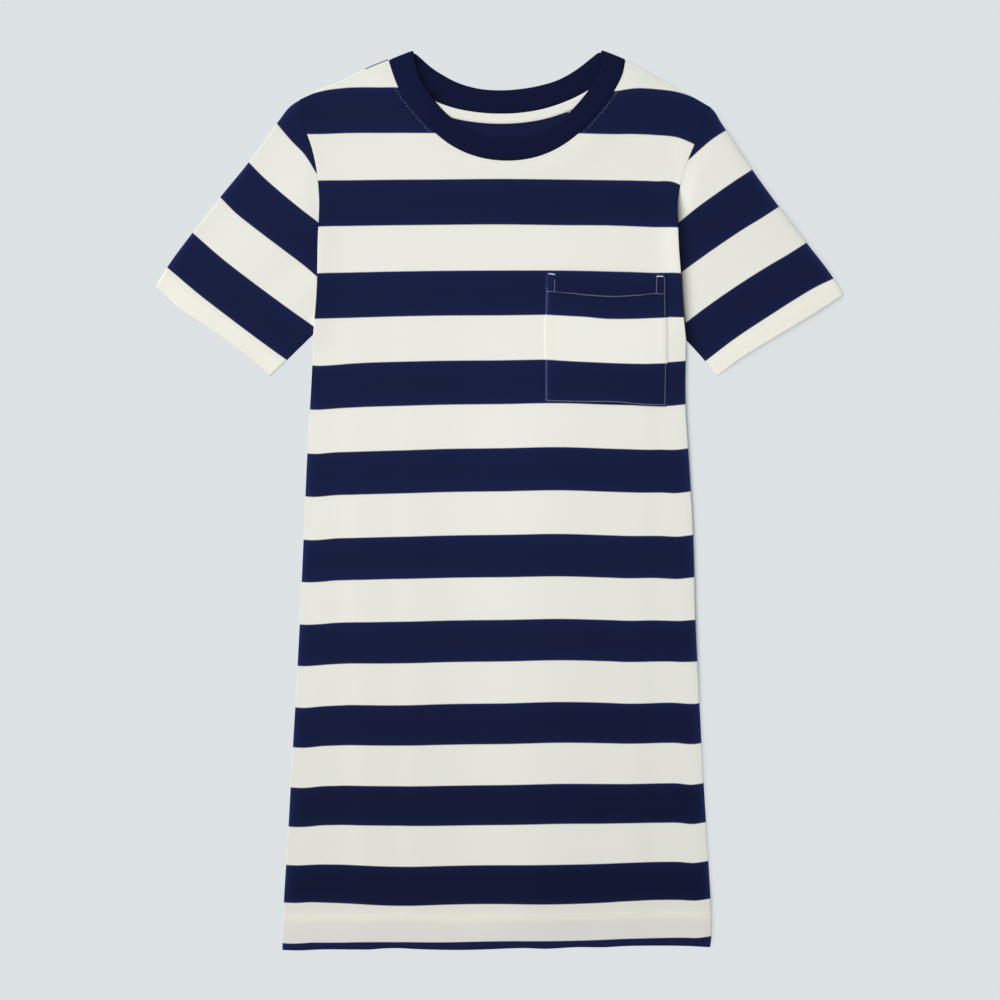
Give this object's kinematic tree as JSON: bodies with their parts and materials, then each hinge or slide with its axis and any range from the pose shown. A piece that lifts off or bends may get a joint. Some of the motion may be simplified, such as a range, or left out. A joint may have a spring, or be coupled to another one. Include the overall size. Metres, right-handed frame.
{
  "type": "t-shirt dress",
  "caption": "Knee-length striped jersey t-shirt dress with short sleeves, a ribbed round neck and a chest pocket, laid out flat with its front up.",
  "frame": {"origin": "on the surface that the dress lies on, under the middle of its box", "axes": "+Y from the hem towards the neck, +X towards the wearer's left, +Z out of the dress's front"},
  "size_m": [0.6726, 0.9124, 0.0067],
  "materials": {
    "striped_jersey": "soft matt cotton jersey, even cream and navy stripes",
    "navy_rib": "matt navy cotton rib, folded double",
    "cream_thread": "cream polyester sewing thread, slight sheen",
    "cream_tape": "matt cream twill tape"
  },
  "bodies": {
    "root": {"body_back": "striped_jersey", "body_front": "striped_jersey", "sleeve_right": "striped_jersey", "sleeve_left": "striped_jersey", "pocket": "striped_jersey", "neckband": "navy_rib", "neck_tape": "cream_tape"}
  },
  "joints": []
}
